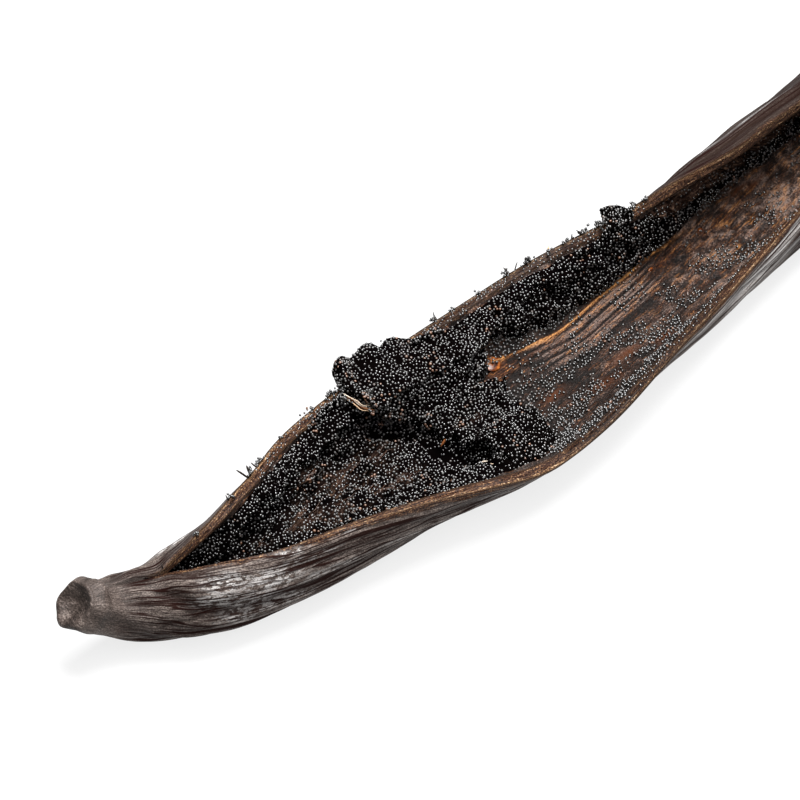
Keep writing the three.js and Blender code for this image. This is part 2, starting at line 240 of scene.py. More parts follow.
# Slivers on the heap, as [start, end, radius, tint] with (place, across, up) for each end.
SLIVERS = [
    [(33.8, 6.1, 7.5), (34.5, 3.6, 6.85), 0.05, 1],
    [(33.9, 5.8, 7.3), (34.6, 3.4, 6.7), 0.1, 0.6],
    [(33.9, 5.3, 7.4), (34.5, 3.7, 7.05), 0.045, 0.95],
    [(33.7, 5.8, 7.2), (34.4, 3.5, 6.6), 0.045, 0.9],
    [(34.2, 4.4, 6.95), (34.7, 3.4, 6.7), 0.07, 0.7],
    [(39.36, -0.5, 3.98), (38.28, -0.33, 2.93), 0.11, 0.55],
    [(39.2, -0.4, 3.95), (39.6, -0.9, 4.1), 0.06, 0.8],
    [(38.38, -4.55, 3.95), (38.46, -5.25, 4.1), 0.07, 1],
    [(38.42, -5.7, 4.35), (38.3, -6.4, 4.6), 0.06, 0.95],
    [(42.9, 3.7, 5.73), (43.55, 3.6, 4.8), 0.1, 0.6],
    [(43.0, 3.95, 5.7), (43.6, 3.8, 4.95), 0.06, 0.8],
    [(35.8, 6.35, 7.0), (35.78, 5.2, 6.75), 0.08, 0.55],
    [(36.1, 6.1, 6.95), (36.05, 5.05, 6.75), 0.06, 0.7],
]
# Drops of amber pulp, as [place, u, lift, length, width].
AMBER_DROPS = [
    [50.2, 0.44, 0.24, 0.8, 0.75], [47.6, 0.66, 0.4, 0.4, 0.3],
    [76.6, 0.16, 0.2, 0.3, 0.22], [69.3, 0.24, 0.2, 0.35, 0.2],
]

# Fineness of the surfaces. Steps are (start, end, distance between two sections).
SPINE_STEP = 0.25
ARC_STEPS = 48
SKIN_STEPS = [(0, 14, 0.18), (14, 96, 0.3), (96, 140, 0.6), (140, POD_LENGTH, 0.3)]
FLESH_STEPS = [(8, 40, 0.6), (40, 94, 0.17), (94, 130, 0.7)]
SEED_STEPS = [(SEEDS_START, 31.4, 0.3), (31.4, 52, 0.18), (52, 92, 0.25), (92, SEEDS_END, 0.5)]
SKIN_POINTS = 141
CUT_POINTS = 6
HOLLOW_POINTS = 33
FLESH_POINTS = 150
SEED_POINTS_BELOW = 12
SEED_POINTS_RIM = 10
SEED_POINTS_ABOVE = 62
TUBE_POINTS = 5

# The camera: where it looks, from which side, and how large the photograph shows the pod.
LOOK_AT = (-34.66, 4.78, 4)
CAMERA_AZIMUTH = -48.5
CAMERA_ELEVATION = 38
CAMERA_DISTANCE = 399.6
CAMERA_CLIP = 10
SENSOR_WIDTH = 36
PICTURE_WIDTH = 800
PIXELS_PER_MM = 12.55

# The studio. Soft boxes are [name, azimuth, elevation, distance, width, power].
SOFT_BOXES = [
    ["overhead_softbox", 80, 80, 420, 290, 6.6], ["front_softbox", -30, 55, 420, 260, 1.4],
]
ROOM_LIGHT = 0.3
TABLE_GLOW = 0.8
TABLE_HALF_WIDTH = 1500


# Measuring along the pod and across it.

def along(pairs, place):
    """Size at each place, smooth and never beyond the two sizes beside it."""
    at, size = np.array(pairs, float).T
    step = np.diff(size) / np.diff(at)
    both = step[:-1] * step[1:]
    total = np.where(both > 0, step[:-1] + step[1:], 1)
    slope = np.concatenate([step[:1], np.where(both > 0, 2 * both / total, 0), step[-1:]])
    place = np.clip(place, at[0], at[-1])
    i = np.clip(np.searchsorted(at, place, side="right") - 1, 0, len(at) - 2)
    width = at[i + 1] - at[i]
    t = (place - at[i]) / width
    values = (1 + 2 * t) * (1 - t) ** 2 * size[i] + t * t * (3 - 2 * t) * size[i + 1]
    slopes = t * (1 - t) ** 2 * slope[i] + t * t * (t - 1) * slope[i + 1]
    return values + slopes * width


def places_of(steps):
    return np.concatenate([np.arange(*step) for step in steps])


def smooth(value, start, end):
    """0 before start, 1 after end and an even S between them."""
    t = np.clip((value - start) / (end - start), 0, 1)
    return t * t * (3 - 2 * t)


def between(value, start, full, fading, end):
    """1 from full to fading, and 0 before start and after end."""
    return smooth(value, start, full) * (1 - smooth(value, fading, end))


def lerp(a, b, t):
    return a + (b - a) * t


def noise(x, y, seed):
    """Smooth random hills between -1 and 1, one to each unit square."""
    x, y = np.broadcast_arrays(np.asarray(x, float), np.asarray(y, float))
    column, row = np.floor(x).astype(np.int64), np.floor(y).astype(np.int64)

    def corner(dx, dy):
        mixed = (column + dx) * 374761393 + (row + dy) * 668265263 + seed * 974634777
        mixed = (mixed ^ (mixed >> 13)) * 1274126177
        return ((mixed ^ (mixed >> 16)) & 0xFFFF) / 32767.5 - 1

    u, v = (t ** 3 * (t * (6 * t - 15) + 10) for t in (x - column, y - row))
    low = lerp(corner(0, 0), corner(1, 0), u)
    high = lerp(corner(0, 1), corner(1, 1), u)
    return lerp(low, high, v)


def layered(x, y, seed, layers=3):
    """Hills with smaller hills on them."""
    return sum(
        noise(x * 2 ** layer, y * 2 ** layer, seed + layer) / 2 ** layer
        for layer in range(layers))


def spot_share(spots, place, across, power=1.5):
    """How far inside a soft spot each point lies, up to the spot's strength in its middle."""
    share = 0 * place * across
    for at, middle, length, width, strength in spots:
        off = ((place - at) / length) ** 2 + ((across - middle) / width) ** 2
        share = np.maximum(share, strength * np.exp(-off ** power))
    return share


def axes_at(place):
    """The directions forward along the pod, across it towards the far wall, and up."""
    heading, pitch = np.radians(along(HEADING, place)), np.radians(along(PITCH, place))
    across = np.stack([-np.sin(heading), np.cos(heading), np.zeros_like(heading)], -1)
    level = np.cos(pitch)
    forward = np.stack([level * np.cos(heading), level * np.sin(heading), np.sin(pitch)], -1)
    return forward, across, np.cross(forward, across)


def make_spine():
    """The middle line along the underside, with its lowest stretch on the surface."""
    middles = np.arange(SPINE_STEP / 2, POD_LENGTH, SPINE_STEP)
    line = np.vstack([np.zeros(3), np.cumsum(axes_at(middles)[0] * SPINE_STEP, 0)])
    return line - [BOX_MIDDLE[0], BOX_MIDDLE[1], line[:, 2].min() + UNDERSIDE_CUT]


SPINE = make_spine()
SPINE_PLACES = np.arange(len(SPINE)) * SPINE_STEP


def in_space(place, across, up, beyond=0):
    """A point of the cross-section at each place, in the model's frame, never below the table."""
    forward, sideways, upward = axes_at(place)
    middle = np.stack([np.interp(place, SPINE_PLACES, SPINE[:, k]) for k in range(3)], -1)
    point = middle + sideways * across[..., None] + upward * up[..., None]
    point = point + forward * np.broadcast_to(beyond, np.shape(across))[..., None]
    point[..., 2] = np.maximum(point[..., 2], 0)
    return point


def wall_table(length, turn, curl):
    """One wall's outside at every place of the spine, from the underside to the lip."""
    length, turn, curl = (along(pairs, SPINE_PLACES)[:, None] for pairs in (length, turn, curl))
    share = np.arange(ARC_STEPS + 1) / ARC_STEPS
    middle = np.radians(turn) * (share[1:] - 0.5 / ARC_STEPS) ** curl
    none = np.zeros((len(SPINE_PLACES), 1))
    across = np.hstack([none, np.cumsum(np.cos(middle), 1)]) * length / ARC_STEPS
    up = np.hstack([none, np.cumsum(np.sin(middle), 1)]) * length / ARC_STEPS
    return np.stack([across, up, np.radians(turn) * share ** curl], -1)


NEAR_TABLE = wall_table(NEAR_WALL, NEAR_TURN, NEAR_CURL)
FAR_TABLE = wall_table(FAR_WALL, FAR_TURN, FAR_CURL)


def wall_point(place, u, depth):
    """Across and up at u, from -1 at the near lip to 1 at the far lip, moved inwards by depth."""
    place, u, depth = np.broadcast_arrays(place, u, depth)
    row = np.clip(place / SPINE_STEP, 0, len(SPINE_PLACES) - 1.001)
    column = np.minimum(np.abs(u), 0.99999) * ARC_STEPS
    i, j = row.astype(int), column.astype(int)
    along_row, along_column = (row - i)[..., None], (column - j)[..., None]
    found = []
    for table in (NEAR_TABLE, FAR_TABLE):
        before = lerp(table[i, j], table[i, j + 1], along_column)
        after = lerp(table[i + 1, j], table[i + 1, j + 1], along_column)
        found.append(lerp(before, after, along_row))
    across, up, angle = np.moveaxis(np.where((u < 0)[..., None], *found), -1, 0)
    side = np.where(u < 0, -1, 1)
    return side * (across - depth * np.sin(angle)), up + depth * np.cos(angle)


def girth_at(place, u):
    return np.where(u < 0, along(NEAR_WALL, place), along(FAR_WALL, place))


def ridges(rows, place, u):
    """Lengthwise ridges that wander slowly sideways and fade out at the lips."""
    height = 0
    for size, spacing, wander in rows:
        drift = 1.2 * np.sin(place / wander + spacing)
        height = height + size * np.sin(2 * np.pi * u * girth_at(place, u) / spacing + drift)
    return height * (1 - u ** 10)


def hollow_point(place, u, lift):
    """A point on the hollow's surface, lifted off it, shrunk to the seam where the slit is shut."""
    share = (1 - u * 0.95) / 2
    far_lip, near_lip = wall_point(place, 1, 0), wall_point(place, -1, 0)
    wall = wall_point(place, u, WALL + ridges(INNER_RIBS, place, u) + lift)
    opened = along(SLIT, place)
    across = lerp(lerp(far_lip[0], near_lip[0], share), wall[0], opened)
    groove = lerp(far_lip[1], near_lip[1], share) - SEAM_DEPTH * np.sin(np.pi * share)
    return across, lerp(groove, wall[1], opened)


# Making meshes from rows of points.

def ring_faces(rows, columns):
    """Four-sided faces round a row of rings, with one face over each end."""
    ring = np.arange(columns)
    after = np.roll(ring, -1)
    start = np.arange(rows - 1)[:, None] * columns
    corners = [start + ring, start + ring + columns, start + after + columns, start + after]
    ends = [list(range(columns)), [(rows - 1) * columns + i for i in reversed(range(columns))]]
    return np.stack(corners, -1).reshape(-1, 4).tolist() + ends


def sheet_faces(rows, columns):
    start = np.arange(rows - 1)[:, None] * columns + np.arange(columns - 1)
    faces = np.stack([start, start + columns, start + columns + 1, start + 1], -1)
    return faces.reshape(-1, 4).tolist()


def make_piece(name, points, faces, material, slot, node, **details):
    """A piece of the pod that stands for a node of the solid model. Details are numbers or
    places for each point that its material reads."""
    mesh = bpy.data.meshes.new(name)
    mesh.from_pydata((np.asarray(points).reshape(-1, 3) * MM).tolist(), [], faces)
    mesh.polygons.foreach_set("use_smooth", [True] * len(mesh.polygons))
    for detail, values in details.items():
        values = np.asarray(values, float).reshape(len(mesh.vertices), -1)
        kind, field = ("FLOAT_VECTOR", "vector") if values.shape[1] == 3 else ("FLOAT", "value")
        mesh.attributes.new(detail, kind, "POINT").data.foreach_set(field, values.ravel())
    mesh.materials.append(material)
    mesh.update()
    piece = bpy.data.objects.new(name, mesh)
    bpy.context.scene.collection.objects.link(piece)
    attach(piece, "root")
    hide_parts(node)


def make_skin_piece(name, points, faces, material, **details):
    make_piece(name, points, faces, material, "pod_skin", "pod_skin", **details)


def make_seed_piece(name, points, faces, material, **details):
    make_piece(name, points, faces, material, "seeds", "seed_mass", **details)


def tube_faces(tubes):
    """Faces of many closed tubes with equally many points, each tube a row of rings."""
    rows, columns = tubes[0].shape[:2]
    one = ring_faces(rows, columns)
    return [
        [corner + number * rows * columns for corner in face]
        for number in range(len(tubes)) for face in one]


def tints_of(tubes, tints):
    """The same tint for every point of a tube."""
    return np.repeat(tints, tubes[0][..., 0].size)


def normals_of(grid):
    """Outward direction at each point of a grid of points."""
    down, side = np.gradient(grid, axis=0), np.gradient(grid, axis=1)
    normal = np.cross(down, side)
    return normal / np.maximum(np.linalg.norm(normal, axis=-1, keepdims=True), 1e-9)


# Materials.

def colour(hex_value):
    """An sRGB hex colour as the linear colour that a shader takes."""
    channels = [(hex_value >> shift & 255) / 255 for shift in (16, 8, 0)]
    return [c / 12.92 if c <= 0.04045 else ((c + 0.055) / 1.055) ** 2.4 for c in channels] + [1]


def add_node(tree, kind, sockets=(), output=0, stops=(), **settings):
    """A shader node with its settings, its sockets set or linked in order or by name, and the
    colour stops of a ramp. What comes back is one of its outputs, or the node for None."""
    node = tree.nodes.new("ShaderNode" + kind)
    for name, value in settings.items():
        setattr(node, name, value)
    by_name = sockets if isinstance(sockets, dict) else dict(enumerate(sockets))
    for name, value in by_name.items():
        if isinstance(value, bpy.types.NodeSocket):
            tree.links.new(value, node.inputs[name])
        else:
            node.inputs[name].default_value = value
    if stops:
        elements = node.color_ramp.elements
        while len(elements) < len(stops):
            elements.new(1)
        for element, (position, shade) in zip(elements, stops):
            element.position = position
            element.color = colour(shade)
    return node if output is None else node.outputs[output]


def start_material(name, *details):
    """An empty material, the function that adds its nodes, and the details of a mesh that it
    reads: the grain as a vector, and others as numbers."""
    material = bpy.data.materials.new(name)
    material.use_nodes = True
    material.node_tree.nodes.clear()
    add = functools.partial(add_node, material.node_tree)
    read = [
        add("Attribute", output="Vector" if detail == "grain" else "Fac", attribute_name=detail)
        for detail in details]
    return material, add, *read


def finish_material(material, add, sockets):
    add("OutputMaterial", {"Surface": add("BsdfPrincipled", sockets)}, output=None)
    return material


def total(add, *terms):
    """The sum of terms. A term is one value, or several that are multiplied."""
    summed = []
    for term in terms:
        value, *factors = term if isinstance(term, tuple) else (term,)
        for factor in factors:
            value = add("Math", [value, factor], operation="MULTIPLY")
        summed = [add("Math", [*summed, value], operation="ADD") if summed else value]
    return summed[0]


def coats(add, below, *layers):
    """A colour with others laid over it, each as (share that it covers, colour)."""
    for share, shade in layers:
        below = add("Mix", {0: share, 6: below, 7: shade}, output=2, data_type="RGBA")
    return below


def cloud(add, place, scale, detail, roughness):
    """Noise over the surface, with so many features per mm along the pod and across it."""
    stretched = add("VectorMath", [place, (*scale, 0)], operation="MULTIPLY")
    return add("TexNoise", {
        "Vector": stretched, "Scale": 1.0, "Detail": detail, "Roughness": roughness}, "Fac")


def furrows(add, place, scale, levels, width, strength):
    """Thin lines that follow the hills of a noise at several heights, and 0 between them."""
    hills = total(add, (cloud(add, place, scale, 2.0, 0.5), levels))
    level = add("Math", [hills], operation="FRACT")
    off_line = add("Math", [level, 0.5], operation="SUBTRACT")
    off_line = add("Math", [off_line], operation="ABSOLUTE")
    return add("MapRange", [off_line, 0.3 * width, width, strength, 0.0])


def oiled_vanilla_skin():
    """Cured vanilla skin: brown-grey with thin red-black furrows along it, with painted shade
    where the relief is low and painted light on its crests, and white streaks that are partly
    wax bloom and partly painted highlight. Its cut edge shows tan fibres between dark ones,
    with a painted highlight along its rim."""
    material, add, grain, crest, flesh, cut_depth, wax_and_highlight, wrinkled = start_material(
        "oiled_vanilla_skin", "grain", "crest", "flesh", "cut", "wax_and_highlight", "wrinkled")
    place, girth, slow_place = add("SeparateXYZ", [grain], output=None).outputs

    # Towards the stem the furrows run on for longer.
    drawn_out = add("CombineXYZ", [slow_place, girth])
    wide_lines = furrows(add, drawn_out, (0.045, 1.0), 7.0, 0.22, 0.95)
    fine_lines = furrows(add, drawn_out, (0.1, 2.0), 5.0, 0.18, 0.75)
    # Painted shade: the furrows also darken where the relief is low.
    painted_crease_shade = add("MapRange", [crest, 0.2, 0.45, 0.3, 0.0])
    lines = add("Math", [wide_lines, fine_lines], operation="MAXIMUM")
    lines = add("Math", [lines, painted_crease_shade], operation="MAXIMUM")
    lines = total(add, (lines, wrinkled))

    # The skin between them, with painted light on its crests and painted shade where the relief is low.
    streaks = cloud(add, drawn_out, (1.0, 4.0), 4.0, 0.7)
    speckle = cloud(add, grain, (6.0, 7.5), 2.0, 0.6)
    painted_crest_shading = add("MapRange", [crest, 0, 1, -0.06, 0.06])
    tone = total(add, (streaks, 0.5), (speckle, 0.5), painted_crest_shading)
    skin = add("ValToRGB", [tone], stops=[
        (0.36, 0x16100E), (0.45, 0x2B2420), (0.53, 0x3E3531), (0.64, 0x685E58)])

    # Painted shade: the skin is coloured darker where the far wall turns its outside from the light.
    past_heap = add("MapRange", [place, 54, 66])
    far_side = add("MapRange", [girth, 3, 6, 0.0, 0.72])
    far_wall_painted_shade = total(add, (past_heap, far_side))

    # White wax bloom, partly painted highlight where the light glints on the oily skin, flaky near
    # the flower end and in long streaks further on.
    flakes = add("MapRange", [cloud(add, grain, (1.2, 2.6), 4.0, 0.7), 0.47, 0.52])
    long_streaks = add("MapRange", [cloud(add, drawn_out, (0.4, 3.4), 4.0, 0.65), 0.4, 0.52])
    near_flower = add("MapRange", [place, 24, 40, 1.0, 0.0])
    further_on = add("MapRange", [place, 24, 40])
    broken = total(add, (flakes, near_flower), (long_streaks, further_on))
    # Painted highlight: the white coat is partly wax bloom and partly glints of light.
    wax_and_painted_highlight = total(add, (wax_and_highlight, broken, add("MapRange", [speckle, 0.35, 0.5, 0.4, 1.0]), 0.95))
    skin = coats(
        add, skin, (far_wall_painted_shade, colour(0x1A0F0A)), (wax_and_painted_highlight, colour(0xACA9A7)),
        (lines, colour(0x170907)))

    # The cut edge, with a painted highlight along its rim, and blackened where seeds stick to it.
    fibres = cloud(add, grain, (0.9, 6.0), 4.0, 0.7)
    painted_rim_highlight = add("ValToRGB", [cut_depth], stops=[
        (0.0, 0x707070), (0.12, 0xA8A8A8), (0.34, 0x808080), (0.5, 0x606060), (1.0, 0x808080)])
    warmth = total(add, (fibres, 0.4), (speckle, 0.5), (painted_rim_highlight, 0.3))
    cut = add("ValToRGB", [warmth], stops=[
        (0.41, 0x0C0705), (0.49, 0x2A1A14), (0.55, 0x4C3526), (0.61, 0x7C6044), (0.68, 0xC0AC90)])
    seedy_lip = total(add, (
        add("MapRange", [place, 40, 46]), add("MapRange", [place, 62, 68, 0.6, 0.0]),
        add("MapRange", [girth, 2, 4])))
    stem_half = add("MapRange", [place, 60, 70, 0.0, 0.3])
    cut = coats(add, cut, (seedy_lip, colour(0x120C0A)), (stem_half, colour(0x1A110C)))

    relief = total(add, (streaks, 0.4), (lines, -0.6), (speckle, 0.4))
    dull = add("Math", [lines, far_wall_painted_shade], operation="MAXIMUM")
    return finish_material(material, add, {
        "Base Color": coats(add, skin, (flesh, cut)), "Roughness": 0.55,
        "Specular IOR Level": add("MapRange", [dull, 0, 1, 0.15, 0.0]),
        "Normal": add("Bump", {"Height": relief, "Strength": 0.9, "Distance": 0.1 * MM})})


def scraped_flesh():
    """The pod's inside flesh after scraping: dark caramel fibres with golden ribs and rust-red
    dried sap. Its speckle of tiny oily lights is partly grain and partly painted highlight, and
    its ribs carry painted light on their crests and painted shade in the gaps between them."""
    material, add, grain, gold, rib, sap, warmth, seeded = start_material(
        "scraped_flesh", "grain", "gold", "rib", "sap", "warm", "seeded")
    fibres = cloud(add, grain, (0.6, 5.0), 5.0, 0.7)
    # The speckle is partly grain and partly painted highlights, the tiny oily lights.
    speckle = cloud(add, grain, (5.5, 7.0), 3.0, 0.7)

    # The scraped stretch is darkest beside the heap, and towards the stem it is painted lighter against
    # the far wall's shade.
    place = add("SeparateXYZ", [grain], output="X")
    heap_dark_and_painted_light = total(
        add, add("MapRange", [place, 54, 66, -0.035, 0.0]),
        add("MapRange", [place, 66, 80, 0.0, 0.035]))
    # Painted light and shade: lighter on rib crests and bumps, dark in the gaps between them.
    painted_crest_shading = add("MapRange", [rib, 0, 1, -0.17, 0.17])
    tone = total(add, (fibres, 0.35), (speckle, 0.65), painted_crest_shading, heap_dark_and_painted_light)
    flesh = add("ValToRGB", [tone], stops=[
        (0.4, 0x080605), (0.475, 0x1A1310), (0.53, 0x2F2521), (0.6, 0x65564F)])

    # Warm fibres show through in patches.
    patchy = add("MapRange", [cloud(add, grain, (0.6, 2.2), 5.0, 0.7), 0.42, 0.62, -0.05, 0.6])
    warm = total(add, (add("Math", [warmth, patchy], operation="ADD", use_clamp=True), 0.8))
    # The warm strands take the same painted light and shade of the ribs and towards the stem.
    strands = total(
        add, (cloud(add, grain, (0.45, 3.6), 4.0, 0.75), 0.65), (speckle, 0.35),
        add("MapRange", [warmth, 0.3, 1.0, 0.0, 0.03]), add("MapRange", [rib, 0, 1, -0.1, 0.1]),
        heap_dark_and_painted_light)
    warm_fibre = add("ValToRGB", [strands], stops=[
        (0.42, 0x0C0503), (0.49, 0x2E170C), (0.54, 0x5A3219), (0.6, 0xB47A42)])
    gold_fibre = add("ValToRGB", [tone], stops=[(0.4, 0x24120A), (0.48, 0x683E1F), (0.58, 0xB07C46)])

    # Strewn seeds leave it black, and dried sap leaves it rust red.
    seed_stain = add("MapRange", [seeded, 0.15, 0.5, 0.0, 0.6])
    sap_stain = total(add, (sap, 0.8))
    flesh = coats(
        add, flesh, (warm, warm_fibre), (gold, gold_fibre), (seed_stain, colour(0x070504)),
        (sap_stain, colour(0x44230F)))
    relief = total(add, (speckle, 0.7), (fibres, 0.6), (strands, warm))
    return finish_material(material, add, {
        "Base Color": flesh, "Roughness": 0.42, "Specular IOR Level": 0.13,
        "Normal": add("Bump", {"Height": relief, "Strength": 1.0, "Distance": 0.16 * MM})})


def oily_seed_pulp():
    """The dark pulp that binds the seeds: black and sunk between them, with hardly a light on
    it, and a thin brown film over fibres where few seeds are left."""
    material, add, grain, film = start_material("oily_seed_pulp", "grain", "film")
    fibres = total(
        add, (cloud(add, grain, (0.4, 4.5), 4.0, 0.7), 0.6),
        (cloud(add, grain, (5.0, 6.5), 2.0, 0.6), 0.4))
    brown = add("ValToRGB", [fibres], stops=[
        (0.42, 0x0A0605), (0.5, 0x2A1D18), (0.56, 0x4A3A32), (0.66, 0x8A6E56)])
    return finish_material(material, add, {
        "Base Color": coats(add, colour(0x030202), (film, brown)), "Roughness": 0.7,
        "Specular IOR Level": 0.0})


def glossy_seed_coat():
    """Ripe vanilla seed coats under a film of oil: hard and black, each with one small bright
    light on its top. A few are still brown."""
    material, add, tint = start_material("glossy_seed_coat", "tint")
    shade = add("ValToRGB", [tint], stops=[
        (0, 0x151413), (0.8, 0x1B1816), (0.93, 0x2A1C14), (1, 0x55300F)])
    return finish_material(material, add, {
        "Base Color": shade, "Roughness": add("MapRange", [tint, 0, 1, 0.18, 0.5]), "IOR": 1.95})


def dried_amber_pulp():
    """Hardened drops of pulp: clear brown amber with a wet gloss."""
    material, add = start_material("dried_amber_pulp")
    place = add("TexCoord", output="Object")
    cloudy = add("TexNoise", {"Vector": place, "Scale": 2.5 / MM, "Detail": 3.0}, "Fac")
    shade = add("ValToRGB", [cloudy], stops=[(0.4, 0x1C0A04), (0.55, 0x53260C), (0.7, 0x8A5020)])
    return finish_material(material, add, {
        "Base Color": shade, "Roughness": 0.22, "Specular IOR Level": 0.3})


def dried_placenta_fibre():
    """Fine dried strands of the seeds' bed: caramel to pale gold, a little glossy."""
    material, add, tint = start_material("dried_placenta_fibre", "tint")
    shade = add("ValToRGB", [tint], stops=[
        (0, 0x14100D), (0.3, 0x3A2418), (0.6, 0x74431F), (0.85, 0xB0804A), (1, 0xCDBFAE)])
    return finish_material(material, add, {"Base Color": shade, "Roughness": 0.42, "IOR": 1.45})


def lit_acrylic_table():
    """A white acrylic table lit from below, so that shadows on it stay pale."""
    material, add = start_material("lit_acrylic_table")
    return finish_material(material, add, {
        "Base Color": colour(0x606060), "Roughness": 0.8, "Specular IOR Level": 0.0,
        "Emission Color": colour(0xFFFFFF), "Emission Strength": TABLE_GLOW})


# The skin.

def creases(place, u):
    """Lengthwise creases of the dried skin: rounded crests between sharp furrows."""
    girth = u * FULL_GIRTH
    height = 0
    for row, (size, spacing, length) in enumerate(CREASES):
        drift = 0.6 * noise(place / 15, girth / 5, 40 + row)
        hills = noise((girth + drift) / spacing, place / length, 50 + row)
        height = height + size * (2 * np.sqrt(np.abs(hills)) - 1)
    return height


def skin_height(place, u):
    """Relief of the skin's outside. It is lower near the flower end and fades out at the lips."""
    fade = 1 - np.abs(u) ** 16
    size = np.minimum(1, girth_at(place, u) / FULL_GIRTH) * (0.3 + 0.7 * smooth(place, 1, 6))
    uneven = 0.1 * layered(place / 7, u * FULL_GIRTH / 3.5, 61)
    return ridges(WRINKLES, place, u) + (creases(place, u) + uneven) * size * fade


def skin_lining(place, cut_share):
    """The skin's inside from the far lip to the near one, with both ragged cut faces."""
    u = np.linspace(1, -1, HOLLOW_POINTS)[None, :]
    far_cut = wall_point(place, 1, WALL * cut_share[None, :])
    near_cut = wall_point(place, -1, WALL * cut_share[None, ::-1])
    inside = wall_point(place, u, WALL + ridges(INNER_RIBS, place, u))
    across, up = (np.hstack(parts) for parts in zip(far_cut, inside, near_cut))
    fibre = np.arange(CUT_POINTS)[None, :]
    ragged_cut = 0.06 * noise(place / 3, fibre * 1.7, 71) + 0.05 * noise(place / 0.45, fibre * 1.3, 72)
    up[:, :CUT_POINTS] += ragged_cut
    up[:, -CUT_POINTS:] += ragged_cut
    return across, up


def make_skin(material):
    """The split skin, closed round its wall, with the dimpled flower scar and the cut stalk."""
    place = np.append(places_of(SKIN_STEPS), POD_LENGTH)[:, None]
    u = np.linspace(-1, 1, SKIN_POINTS)[None, :]
    height = skin_height(place, u)
    outside = wall_point(place, u, -height)
    cut_share = (np.arange(CUT_POINTS) + 1) / (CUT_POINTS + 1)
    lining = skin_lining(place, cut_share)
    count = lining[0].shape[1]

    # Where the slit is shut, the lining shrinks to the groove of the seam.
    t = (np.arange(count)[None, :] + 0.5) / count
    opened = along(SLIT, place)
    seam_across, seam_up = (lerp(side[:, -1:], side[:, :1], t) for side in outside)
    groove = seam_up - SEAM_DEPTH * np.sin(np.pi * t) * smooth(place, 2, 6)
    across = np.hstack([outside[0], lerp(seam_across, lining[0], opened)])
    up = np.hstack([outside[1], lerp(groove, lining[1], opened)])

    # What the material reads. Across the cut the fibres lie closer together.
    within = np.zeros((len(place), count))
    girth = np.hstack([u * FULL_GIRTH, LINING_GRAIN + t * LINING_GRAIN_WIDTH]) + np.zeros_like(place)
    girth[:, SKIN_POINTS:SKIN_POINTS + CUT_POINTS] = FAR_CUT_GRAIN + WALL * cut_share
    girth[:, -CUT_POINTS:] = NEAR_CUT_GRAIN + WALL * cut_share[::-1]
    slow_place = np.where(
        place < SLOW_FROM, place, SLOW_FROM + SLOW_RATE * (place - SLOW_FROM))
    peel = np.where(u < 0, along(PEEL_NEAR, place), along(PEEL_FAR, place))
    peel = peel * (1 + 0.6 * layered(place / 2.5, u / 3, 73))
    torn = 1 - smooth((1 - np.abs(u)) * FULL_GIRTH, peel * 0.6, peel)
    # The crest is the relief's height; from it the material paints light on the crests and shade in the
    # creases.
    crest = np.hstack([np.clip(height / 0.3 + 0.5, 0, 1), within + 0.5])
    cut = np.hstack([np.zeros(SKIN_POINTS), cut_share, np.ones(HOLLOW_POINTS), cut_share[::-1]])
    marks = {
        "flesh": np.hstack([torn, within + 1]) * opened,
        "wax_and_highlight": np.hstack([spot_share(WAX_AND_PAINTED_HIGHLIGHTS, place, u * FULL_GIRTH), within]),
        "wrinkled": np.broadcast_to(smooth(place, 2.5, 5), crest.shape),
        "cut": np.broadcast_to(cut, crest.shape),
    }

    # The first and the last section close up in smaller rings, plain, and darker in the middle, where
    # their lowered crests carry more painted shade.
    dimple, stalk = np.array(FLOWER_DIMPLE[::-1]), np.array(STALK_CUT)
    last = len(place) - 1
    row = np.r_[np.zeros(len(dimple), int), np.arange(last + 1), np.full(len(stalk), last)]
    size = np.r_[dimple[:, 0], np.ones(last + 1), stalk[:, 0]][:, None]
    beyond = np.r_[dimple[:, 1], np.zeros(last + 1), stalk[:, 1]][:, None]
    from_middle = [size * (side - side.mean(1, keepdims=True))[row] for side in (across, up)]
    points = in_space(
        place[row], *(lerp(side.mean(1, keepdims=True)[row], side[row], size) for side in (across, up)),
        beyond)
    capped = size < 1
    grain = np.stack([
        np.where(capped, from_middle[0], place[row]),
        np.where(capped, END_GRAIN + from_middle[1], girth[row]),
        np.where(capped, from_middle[0], slow_place[row])], -1)
    make_skin_piece(
        "pod_skin_creased", points, ring_faces(*points.shape[:2]), material, grain=grain,
        crest=crest[row] * (0.35 + 0.65 * size),
        **{name: values[row] * ~capped for name, values in marks.items()})


# The scraped flesh inside the pod.

def first_rib(place):
    return along(FIRST_RIB, place) * FULL_GIRTH


def rib_heights(place, u):
    """Height of the lengthwise ribs of the flesh, and how golden they are."""
    girth = u * FULL_GIRTH
    height, gold = 0, 0
    for rib in range(RIB_COUNT):
        middle = first_rib(place) - rib * RIB_SPACING + 0.14 * noise(place / 6, rib, 80)
        width = 0.2 + 0.04 * noise(place / 4, rib, 81)
        strength = 0.7 + 0.3 * noise(place / 7, rib, 82)
        hill = strength * np.exp(-((girth - middle) / width) ** 2)
        if rib == 0:
            height = 1.1 * RIB_HEIGHT * hill
            gold = 1.4 * hill
        else:
            height = height + RIB_HEIGHT * hill * between(place, *RIBS_SHOWN)
    return height, np.clip(gold, 0, 1) * (1 - smooth(place, 70, 76))


